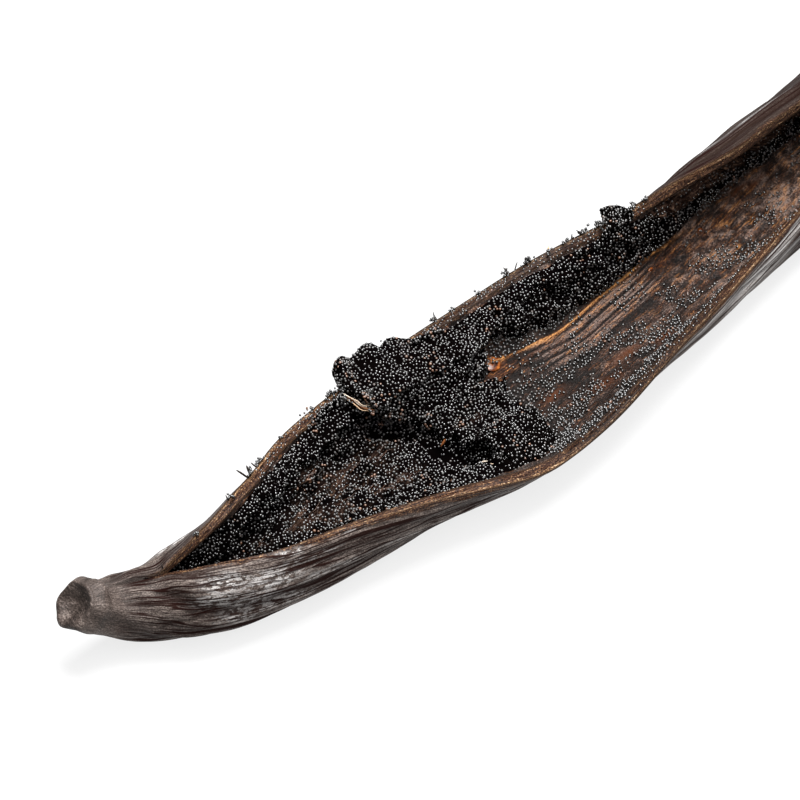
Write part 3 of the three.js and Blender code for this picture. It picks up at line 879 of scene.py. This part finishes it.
def flesh_height(place, u):
    """Relief of the flesh over the wall's own inner surface, its golden parts, and a tone that
    paints light on its raised parts and shade in its hollows.
    """
    girth = u * FULL_GIRTH
    ribs, gold = rib_heights(place, u)
    first = first_rib(place)
    ribbed = between(girth, first - 4.6, first - 3.4, first, first + 0.5) * between(place, *RIBS_SHOWN)
    torn = 0.16 * noise(place / 1.6, girth / 0.3, 99) * spot_share(WARM_FLESH, place, girth)
    grainy = (
        0.1 * layered(place / 0.8, girth / 0.5, 91) + 0.07 * noise(place / 4, girth / 0.4, 95)
        + 0.12 * noise(place / 2.2, girth / 1.6, 96) + 0.07 * noise(place / 0.4, girth / 0.33, 98)
        + torn)
    relief = ribs + grainy * (1 - 0.7 * ribbed)
    off_lip = smooth(1 - np.abs(u), 0.0, 0.05)
    height = lerp(-FLESH_TUCK, np.maximum(FLESH_THICKNESS + relief, FLESH_THINNEST), off_lip)
    # Painted light and shade: the gaps between the ribs are dark and their crests light;
    # elsewhere the tone is a middle one, lighter on the bumps of the grainy relief.
    risen = lerp(0.45 + 1.3 * grainy, 0.1 + 0.65 * smooth(ribs, 0.04, 0.17), ribbed)
    return height, gold, np.clip(risen, 0, 1)


def make_flesh(material):
    """A sheet of fibrous flesh on the inside of the wall, its rim sunk into the skin."""
    place = places_of(FLESH_STEPS)[:, None]
    u = np.linspace(-0.99, 0.99, FLESH_POINTS)[None, :]
    girth = u * FULL_GIRTH
    height, gold, risen = flesh_height(place, u)
    points = in_space(place, *hollow_point(place, u, height))
    stains = spot_share(SAP_STAINS, place, girth, power=1)
    # The rib detail carries the painted light and shade of the flesh's relief.
    make_skin_piece(
        "pod_flesh_scraped", points, sheet_faces(*points.shape[:2]), material,
        grain=np.stack(np.broadcast_arrays(place, girth, 0.0 * height), -1), gold=gold, rib=risen,
        sap=np.clip(stains * (0.9 + 0.4 * noise(place / 0.4, girth / 0.3, 97)), 0, 1),
        warm=spot_share(WARM_FLESH, place, girth), seeded=strewn_share(place, u))
    return points, place, u


# The seeds.

def heap_back(u):
    return along(HEAP_BACK, u) + 0.8 * noise(u * 3, 0.5, 101)


def bed_lumps(place, girth):
    return 0.3 * layered(place / 2.6, girth / 2.2, 111) + 0.2 * noise(place / 0.9, girth / 0.9, 115)


def bare_wall(place, u):
    """The far wall over the seeds' end, where only a film of pulp is left."""
    return smooth(u - along(BARE_WALL, place), -0.03, 0.06)


def bareness(place, u):
    """Where the pulp lies bare of seeds: in pits, in the gaps between crumbs, and under the
    heap's overhang, where the bare black pulp is a painted shadow.
    """
    girth = u * girth_at(place, u)
    pits = smooth(noise(place / 1.3, girth / 1.1, 117), 0.42, 0.65)
    gaps = smooth(noise(place / 0.5, girth / 0.5, 119), 0.5, 0.62)
    undercut_painted_shadow = np.exp(-((place - heap_back(u) + 0.7) / along(UNDERCUT_SHADOW_WIDTH, u)) ** 2)
    return pits, gaps, smooth(undercut_painted_shadow, 0.3, 0.6)


def brown_bed(place, u):
    """Where the dried bed shows between the seeds as brown fibres."""
    spots = [
        [at, across, length, 1.2 * width, min(count / 12, 1)]
        for at, across, length, width, count in BED_STRANDS]
    ragged_share = smooth(layered(place / 1.2, u * FULL_GIRTH / 0.7, 123), -0.35, 0.25)
    return spot_share(spots, place, u, power=1) * ragged_share


def seed_depth(place, u, from_edge):
    """How thick the seeds lie on the wall, how far the heap leans over its foot, and the share
    of the surface that seeds cover."""
    back = heap_back(u)
    risen = smooth(place, back, back + HEAP_SLOPE)
    heap = HEAP_RISE * risen * (1 - smooth(place, *HEAP_FRONT))
    lean = HEAP_LEAN * risen * (1 - smooth(place, back + HEAP_SLOPE, back + 6))
    girth = u * girth_at(place, u)
    lumps = bed_lumps(place, girth) + 0.24 * noise(place / 0.5, girth / 0.55, 116)
    pits, gaps, undercut_painted_shadow = bareness(place, u)
    full = along(SEEDS_DEPTH, place) + heap + lumps - 0.7 * pits - 0.5 * undercut_painted_shadow

    # The seeds end at the front line, but for the band along the far wall.
    front = along(FRONT_LINE, u) + 1.1 * layered(girth / 1.1, place / 5, 118)
    band = smooth(place, 48.5, 51) * smooth(u - along(SEEDS_NEAR_EDGE, place), -0.03, 0.03)
    full = full * np.maximum(smooth(front - place, -0.3, 0.7), band)
    edge = THIN_EDGE * np.maximum(smooth(front - place, -0.5, 0.5), band)
    depth = lerp(edge, np.maximum(full, 0), np.sqrt(np.clip(from_edge / EDGE_ROUNDING, 0, 1)))
    # Under the heap's overhang the seeds are left off, so the black pulp shows as a painted shadow.
    covered = (depth > 0.12) * (1 - 0.5 * np.maximum(pits, gaps)) * (1 - 0.85 * undercut_painted_shadow)
    covered = covered * (1 - 0.93 * bare_wall(place, u)) * (1 - 0.45 * brown_bed(place, u))
    return depth, lean, covered


def ragged(pairs, place, size, seed):
    """An edge of the seeds that wanders in and out."""
    moved = along(pairs, place + 1.3 * layered(place / 1.6, 0.7, seed + 5))
    return moved + size * layered(place / 2.2, 0.3, seed, 4)


def seed_rim(place, far_edge, rise):
    """The seeds' side at the far lip: a blunt edge, or a crumbly wall that stands up over it."""
    inner, outer = wall_point(place, 1, WALL), wall_point(place, 1, 0)
    reach = outer[0] + rise * RIM_OVERHANG
    corners = [
        np.hstack([
            inner[0] - 2 * SEED_GAP, reach, reach + 0.1, outer[0] + rise * RIM_OVERHANG * 0.7]),
        np.hstack([
            inner[1] + 2 * SEED_GAP, outer[1] + 3 * SEED_GAP, outer[1] + 0.6 * rise,
            outer[1] + rise])]
    blunt_depth = PULP_FOOT + THIN_EDGE * (np.arange(4)[None, :] + 1) / 5
    blunt = hollow_point(place, far_edge, blunt_depth)
    above_lip = smooth(rise, 0.35, 0.5)
    risen_across = lerp(blunt[0], corners[0][:, :1], above_lip)
    control_across = lerp(risen_across, corners[0], smooth(rise, 0.55, 1.4))
    control_up = lerp(blunt[1], corners[1], above_lip)

    t = np.linspace(0, 3, SEED_POINTS_RIM)
    left = np.minimum(t.astype(int), 2)
    part = smooth(t - left, 0, 1)[None, :]
    crumbly = 0.22 * smooth(rise, 0.3, 1) * np.sin(np.pi * t / 3)[None, :]
    return t, [
        lerp(control[:, left], control[:, left + 1], part)
        + crumbly * layered(place / 0.6, t[None, :] * 1.6, seed)
        for control, seed in ((control_across, 161), (control_up, 165))]


def seed_surface():
    """Points of the seeds' closed mass, ring by ring, how far seeds cover each point on top,
    where only a brown film shows, and the grain."""
    place = places_of(SEED_STEPS)[:, None]
    # The near edge reaches under the flesh in front of the heap, which ends at its own line.
    ahead = 2 * between(place, 38, 42, 49, 56)
    near_edge = ragged(SEEDS_NEAR_EDGE, place - ahead, 0.035, 121)
    far_edge = np.minimum(ragged(SEEDS_FAR_EDGE, place, 0.015, 131), 0.97)
    rise = along(RIM_RISE, place)
    u_below = lerp(near_edge, far_edge, np.linspace(0, 1, SEED_POINTS_BELOW)[None, :])
    below = hollow_point(place, u_below, PULP_UNDERSIDE)
    t, rim = seed_rim(place, far_edge, rise)
    u_above = lerp(far_edge, near_edge, np.linspace(0, 1, SEED_POINTS_ABOVE)[None, :])
    from_edge = np.minimum(u_above - near_edge, far_edge - u_above) * girth_at(place, u_above)
    depth, lean, covered = seed_depth(place, u_above, from_edge)
    above = hollow_point(place, u_above, PULP_FOOT + depth)
    lifted = above[1] + rise * (1 - smooth(far_edge - u_above, 0, 0.45))

    across = np.hstack([below[0], rim[0], above[0]])
    up = np.hstack([below[1], rim[1], lifted])
    not_above = np.zeros((len(place), SEED_POINTS_BELOW + SEED_POINTS_RIM))
    points = in_space(place, across, up, np.hstack([not_above, -lean]))
    brown = np.maximum(bare_wall(place, u_above), 0.75 * brown_bed(place, u_above))
    film = np.hstack([not_above + brown[:, :1], brown])
    girth = np.hstack([u_below, far_edge + t[None, :], u_above]) * FULL_GIRTH
    grain = np.stack(np.broadcast_arrays(place, girth, 0.0), -1)
    return points, np.hstack([np.ones((len(place), SEED_POINTS_RIM)), covered]), film, grain


def scatter(grid, spacing, random, keep):
    """Places on a grid of points, at least the spacing apart, with the surface's direction.
    Keep is the share of seeds that stay at each point."""
    corner = grid[:-1, :-1]
    down, side = grid[1:, :-1] - corner, grid[:-1, 1:] - corner
    opposite = grid[1:, 1:] - corner
    area = np.linalg.norm(np.cross(down, side), axis=-1) * keep[:-1, :-1]
    share = area.ravel() / area.sum()
    tries = int(area.sum() / spacing ** 2 * 3.2)
    chosen = random.choice(share.size, tries, p=share)
    a, b = random.random((2, tries, 1))
    corner, down, side, opposite = (
        part.reshape(-1, 3)[chosen] for part in (corner, down, side, opposite))
    spots = corner + a * down + b * side + a * b * (opposite - down - side)
    ways = normals_of(grid)[:-1, :-1].reshape(-1, 3)[chosen]

    # A spot is taken if no other lies too close, in its own cell or in one beside it.
    taken, kept = {}, []
    cells = np.floor(spots / spacing).astype(int).tolist()
    nearby = [(i, j, k) for i in (-1, 0, 1) for j in (-1, 0, 1) for k in (-1, 0, 1)]
    for index, (spot, (x, y, z)) in enumerate(zip(spots.tolist(), cells)):
        beside = (taken.get((x + i, y + j, z + k), ()) for i, j, k in nearby)
        if all(math.dist(spot, other) >= spacing for others in beside for other in others):
            taken.setdefault((x, y, z), []).append(spot)
            kept.append(index)
    return spots[kept], ways[kept]


def seed_shape():
    """A ball of twenty faces, the plain form of one seed."""
    golden = (1 + math.sqrt(5)) / 2
    corners = []
    for a in (-1, 1):
        for b in (-golden, golden):
            corners += [(0, a, b), (a, b, 0), (b, 0, a)]
    corners = np.array(corners) / math.hypot(1, golden)
    faces = []
    for i in range(12):
        for j in range(i + 1, 12):
            for k in range(j + 1, 12):
                three = corners[[i, j, k]]
                if max(np.linalg.norm(three - np.roll(three, 1, 0), axis=1)) < 1.1:
                    way = np.cross(three[1] - three[0], three[2] - three[0])
                    faces.append((i, j, k) if np.dot(way, three.sum(0)) > 0 else (i, k, j))
    return corners, np.array(faces)


def turned(random, count):
    """Random turns, as matrices."""
    q = random.normal(size=(count, 4))
    w, x, y, z = (q / np.linalg.norm(q, axis=1, keepdims=True)).T
    return np.stack([
        np.stack([1 - 2 * (y * y + z * z), 2 * (x * y - z * w), 2 * (x * z + y * w)], -1),
        np.stack([2 * (x * y + z * w), 1 - 2 * (x * x + z * z), 2 * (y * z - x * w)], -1),
        np.stack([2 * (x * z - y * w), 2 * (y * z + x * w), 1 - 2 * (x * x + y * y)], -1),
    ], -2)


def make_seeds(name, spots, ways, lift, random, material, uneven_lift=0.06):
    """Loose seeds as one mesh, each turned its own way and sunk a little into what it lies on."""
    corners, faces = seed_shape()
    count = len(spots)
    sizes = SEED_SIZE / 2 * random.uniform(0.82, 1.14, (count, 1, 1))
    sizes = sizes * random.uniform(0.8, 1.08, (count, 1, 3))
    uneven = random.uniform(0.93, 1.07, (count, len(corners), 1))
    shapes = np.einsum("nij,nkj->nki", turned(random, count), corners[None] * sizes * uneven)
    middles = spots + ways * (lift + random.uniform(-uneven_lift, uneven_lift, (count, 1)))
    points = shapes + middles[:, None, :]
    points[..., 2] = np.maximum(points[..., 2], 0)
    all_faces = (faces[None] + np.arange(count)[:, None, None] * len(corners)).reshape(-1, 3)
    # Brown seeds lie together in patches.
    browner = 0.4 * layered(middles[:, 0] / 1.1, middles[:, 1] / 1.1, 181)
    tint = np.repeat(np.clip(0.8 * random.random(count) + browner, 0, 1), len(corners))
    make_seed_piece(name, points, all_faces.tolist(), material, tint=tint)


def heap_brow(place, u, points):
    """The heap's highest edge, where crumbs of seeds stand up against the light."""
    near_brow = np.exp(-((place - along(HEAP_BACK, u) - HEAP_SLOPE) / 1.5) ** 2)
    return near_brow * smooth(points[..., 2], 5, 6.5) * (points[..., 2] < 9)


def make_seed_mass(pulp, coat):
    """The lumpy pulp and the seeds that cover it, in pieces from the flower end on."""
    points, keep, film, grain = seed_surface()
    make_seed_piece(
        "seed_pulp", points, ring_faces(*points.shape[:2]), pulp, film=film, grain=grain)
    random = np.random.default_rng(7)
    top = points[:, SEED_POINTS_BELOW:]
    spots, ways = scatter(top, SEED_SPACING, random, keep)
    order = np.argsort(spots[:, 0], kind="stable")
    parts = np.array_split(order, math.ceil(len(order) / SEEDS_IN_A_PIECE))
    for number, part in enumerate(parts, 1):
        make_seeds(f"seeds_{number}", spots[part], ways[part], BED_LIFT, random, coat)

    clumps = smooth(noise(top[..., 0] / 0.7, top[..., 1] / 0.7 + top[..., 2], 185), -0.05, 0.1)
    for name, spacing, clumping, lift, uneven_lift in LOOSE_SEEDS:
        spots, ways = scatter(top, spacing, random, keep * clumps ** clumping)
        make_seeds(name, spots, ways, lift, random, coat, uneven_lift)

    place, girth = grain[:, SEED_POINTS_BELOW:, 0], grain[:, SEED_POINTS_BELOW:, 1]
    brow = heap_brow(place, girth / FULL_GIRTH, top)
    spots, ways = (
        np.repeat(part, BROW_CRUMB_SEEDS, axis=0)
        for part in scatter(top, BROW_CRUMB_SPACING, random, keep * brow))
    spots = spots + random.normal(0, BROW_CRUMB_SPREAD, spots.shape)
    make_seeds("seeds_on_brow", spots, ways, BROW_LIFT, random, coat, BROW_UNEVENNESS)


def strewn_share(place, u):
    """How thickly single seeds lie on the scraped flesh: in clusters, most near the heap and
    the near lip, few on the ribs."""
    girth = u * FULL_GIRTH
    clusters = smooth(layered(place / 2.2, girth / 1.6, 141), 0, 0.3)
    first = first_rib(place)
    ribs = between(girth, first - 4.6, first - 3, first - 0.2, first + 0.3)
    past_heap = place - along(FRONT_LINE, np.minimum(u, 0.66))
    near_heap = 1 - smooth(past_heap, 0, 3.5 - 2.6 * smooth(u, 0.15, 0.3))
    near_lip = 1 - smooth(u, -0.95, -0.75)
    share = along(STREWN, place) * clusters * (1 - 0.85 * ribs) + 0.8 * near_heap + 0.5 * near_lip
    share = share * (1 - 0.75 * spot_share(WARM_FLESH, place, girth))
    past_edge = u - along(SEEDS_NEAR_EDGE, place)
    share = share + smooth(past_edge, -0.12, -0.03) * smooth(girth - first, 0.3, 0.7)
    return np.clip(share, 0, 1) * (past_edge < 0.04)


def make_strewn_seeds(flesh, coat):
    """Single seeds that the scraping left on the flesh."""
    points, place, u = flesh
    stretch = slice(*np.searchsorted(place[:, 0], STREWN_STRETCH))
    random = np.random.default_rng(11)
    share = strewn_share(place[stretch], u)
    spots, ways = scatter(points[stretch], STREWN_SPACING, random, share)
    make_seeds("seeds_strewn", spots, ways, STREWN_LIFT, random, coat)


def lip_seeds(random, side, start, end, highest, low, high):
    """Places of seeds that stick to a lip's cut face, thinner where the noise is low."""
    place = np.arange(start, end, 0.2)[:, None]
    depth = np.linspace(WALL, highest, 7)[None, :]
    points = in_space(place, *wall_point(place, side, depth))
    fade = between(place, start, start + 3, end - 3, end)
    share = fade * smooth(layered(place / 1.5, depth / 0.8, 151), low, high)
    if side > 0:
        points = points[:, ::-1]
        share = np.maximum(share, between(place, 43, 47, 63, 68))
    return scatter(points, LIP_SPACING, random, share)


def make_lip_seeds(coat):
    random = np.random.default_rng(13)
    strips = [lip_seeds(random, *strip) for strip in LIP_SEEDS]
    spots, ways = (np.concatenate(parts) for parts in zip(*strips))
    make_seeds("seeds_on_lips", spots, ways, LIP_LIFT, random, coat)


def make_crumbs(coat):
    """Crumbs of seeds that stand on the far lip, each a small pile."""
    random = np.random.default_rng(17)
    spots = []
    for place, count, width, height in LIP_CRUMBS:
        foot = wall_point(np.array([place]), 1, 0.12)
        along_lip = random.normal(0, width / 2, count)
        out = random.normal(0.05, 0.12, count)
        up = random.uniform(0, height, count) * (1 - np.minimum(np.abs(along_lip) / width, 0.8))
        spots.append(in_space(place + along_lip, foot[0] + out, foot[1] + up))
    spots = np.concatenate(spots)
    ways = np.tile([0.0, 0.3, 0.95], (len(spots), 1))
    make_seeds("crumbs_on_lip", spots, ways, CRUMB_LIFT, random, coat)


# Fibres and drops.

def strand(points, radius):
    """Rings of a thin tapered rod along a line of points."""
    way = np.gradient(points, axis=0)
    way /= np.linalg.norm(way, axis=1, keepdims=True)
    side = np.cross(way, [0.3, 0.2, 0.9])
    side /= np.linalg.norm(side, axis=1, keepdims=True)
    turn = np.arange(TUBE_POINTS)[:, None] * 2 * np.pi / TUBE_POINTS
    taper = radius * (1 - np.abs(np.linspace(-0.8, 1, len(points))) ** 3 * 0.85)
    ring = side[:, None] * np.cos(turn) + np.cross(way, side)[:, None] * np.sin(turn)
    return points[:, None] + ring * taper[:, None, None]


def make_strands(material):
    """Short dried fibres that stick among the seeds."""
    random = np.random.default_rng(19)
    t = np.linspace(-0.5, 0.5, 9)
    tubes, tints = [], []
    for place, u, length, width, count in BED_STRANDS:
        for _ in range(count):
            reach = random.uniform(*STRAND_LENGTH)
            slant = random.normal(0, 0.035)
            along_pod = place + random.normal(0, length / 2) + reach * t
            across_pod = u + random.normal(0, width / 2) + slant * reach * t
            bed = along(SEEDS_DEPTH, along_pod) + PULP_FOOT + bed_lumps(
                along_pod, across_pod * girth_at(along_pod, across_pod))
            lift = bed + random.uniform(0.1, 0.25) + random.uniform(-0.3, 0.3) * t
            across, up = hollow_point(along_pod, across_pod, lift)
            wander = np.cumsum(random.normal(0, 0.03, (2, len(t))), 1)
            line = in_space(along_pod, across + wander[0], up + wander[1])
            tubes.append(strand(line, random.uniform(*STRAND_RADIUS)))
            tints.append(random.uniform(*STRAND_TINT))
    make_seed_piece("bed_strands", tubes, tube_faces(tubes), material, tint=tints_of(tubes, tints))


def make_slivers(material):
    """Torn slivers of placenta and peel that lie on the heap."""
    t = np.linspace(0, 1, 9)
    tubes = []
    for start, end, radius, _ in SLIVERS:
        place, across, up = (lerp(a, b, t) for a, b in zip(start, end))
        kink = 0.15 * noise(t * 3, place[0] + 2 * radius, 191)
        tubes.append(strand(in_space(place + kink, across, up + kink), radius))
    tints = [tint for *_, tint in SLIVERS]
    make_seed_piece(
        "slivers_on_heap", tubes, tube_faces(tubes), material, tint=tints_of(tubes, tints))


def make_spikes(material):
    """Torn ends of fibre that stand off the far lip."""
    random = np.random.default_rng(23)
    t = np.linspace(0, 1, 8)
    tubes = []
    for place, lean, height, radius, _ in LIP_SPIKES:
        across, up = wall_point(np.array([place]), 1, 0.1)
        bend = random.uniform(-0.3, 0.3)
        line = in_space(
            place + lean * t + bend * t * t, across + 0.35 * height * t, up - 0.1 + height * t)
        tubes.append(strand(line, radius))
    tints = [tint for *_, tint in LIP_SPIKES]
    make_skin_piece("lip_fibres", tubes, tube_faces(tubes), material, tint=tints_of(tubes, tints))


def make_amber_drops(material):
    """Hardened drops of pulp on the scraped flesh."""
    turn = np.linspace(0, 2 * np.pi, 15)[None, :-1]
    rise = np.linspace(-1.4, 1.4, 9)[:, None]
    drops = []
    for place, u, lift, length, width in AMBER_DROPS:
        away = np.cos(rise) * (1 + 0.3 * noise(turn * 0.9, rise * 0.6 + place, 195))
        around = u + away * np.sin(turn) * width / FULL_GIRTH
        across, up = hollow_point(place, around, lift + 0.13 * np.sin(rise))
        drops.append(in_space(place + away * np.cos(turn) * length, across, up))
    make_skin_piece("amber_drops", drops, tube_faces(drops), material)


# Floor, light and camera.

def make_floor():
    half = TABLE_HALF_WIDTH * MM
    corners = [(-half, -half, 0), (half, -half, 0), (half, half, 0), (-half, half, 0)]
    mesh = bpy.data.meshes.new("table_top")
    mesh.from_pydata(corners, [], [(0, 1, 2, 3)])
    mesh.materials.append(lit_acrylic_table())
    floor = bpy.data.objects.new("table_top", mesh)
    bpy.context.scene.collection.objects.link(floor)


def face_pod(holder, azimuth, elevation, distance):
    """Puts a light or camera at this distance from the pod, turned towards it."""
    a, e = math.radians(azimuth), math.radians(elevation)
    away = Vector((math.sin(a) * math.cos(e), -math.cos(a) * math.cos(e), math.sin(e)))
    holder.location = (Vector(LOOK_AT) + away * distance) * MM
    holder.rotation_euler = (-away).to_track_quat("-Z", "Y").to_euler()
    bpy.context.scene.collection.objects.link(holder)


def make_lights():
    world = bpy.data.worlds.new("soft_studio")
    world.use_nodes = True
    background = world.node_tree.nodes["Background"]
    background.inputs["Color"].default_value = (1, 1, 1, 1)
    background.inputs["Strength"].default_value = ROOM_LIGHT
    bpy.context.scene.world = world
    for name, azimuth, elevation, distance, width, power in SOFT_BOXES:
        light = bpy.data.lights.new(name, "AREA")
        light.size = width * MM
        light.energy = power
        face_pod(bpy.data.objects.new(name, light), azimuth, elevation, distance)
    bpy.context.scene.view_settings.view_transform = "Standard"


def make_camera():
    camera = bpy.data.cameras.new("camera")
    camera.sensor_width = SENSOR_WIDTH
    camera.lens = PIXELS_PER_MM * CAMERA_DISTANCE / PICTURE_WIDTH * SENSOR_WIDTH
    camera.clip_start = CAMERA_CLIP * MM
    holder = bpy.data.objects.new("camera", camera)
    face_pod(holder, CAMERA_AZIMUTH, CAMERA_ELEVATION, CAMERA_DISTANCE)
    bpy.context.scene.camera = holder


make_floor()
make_lights()
make_camera()
make_skin(oiled_vanilla_skin())
seed_coat = glossy_seed_coat()
flesh_surface = make_flesh(scraped_flesh())
make_seed_mass(oily_seed_pulp(), seed_coat)
make_strewn_seeds(flesh_surface, seed_coat)
make_lip_seeds(seed_coat)
make_crumbs(seed_coat)
fibre = dried_placenta_fibre()
make_spikes(fibre)
make_strands(fibre)
make_slivers(fibre)
make_amber_drops(dried_amber_pulp())
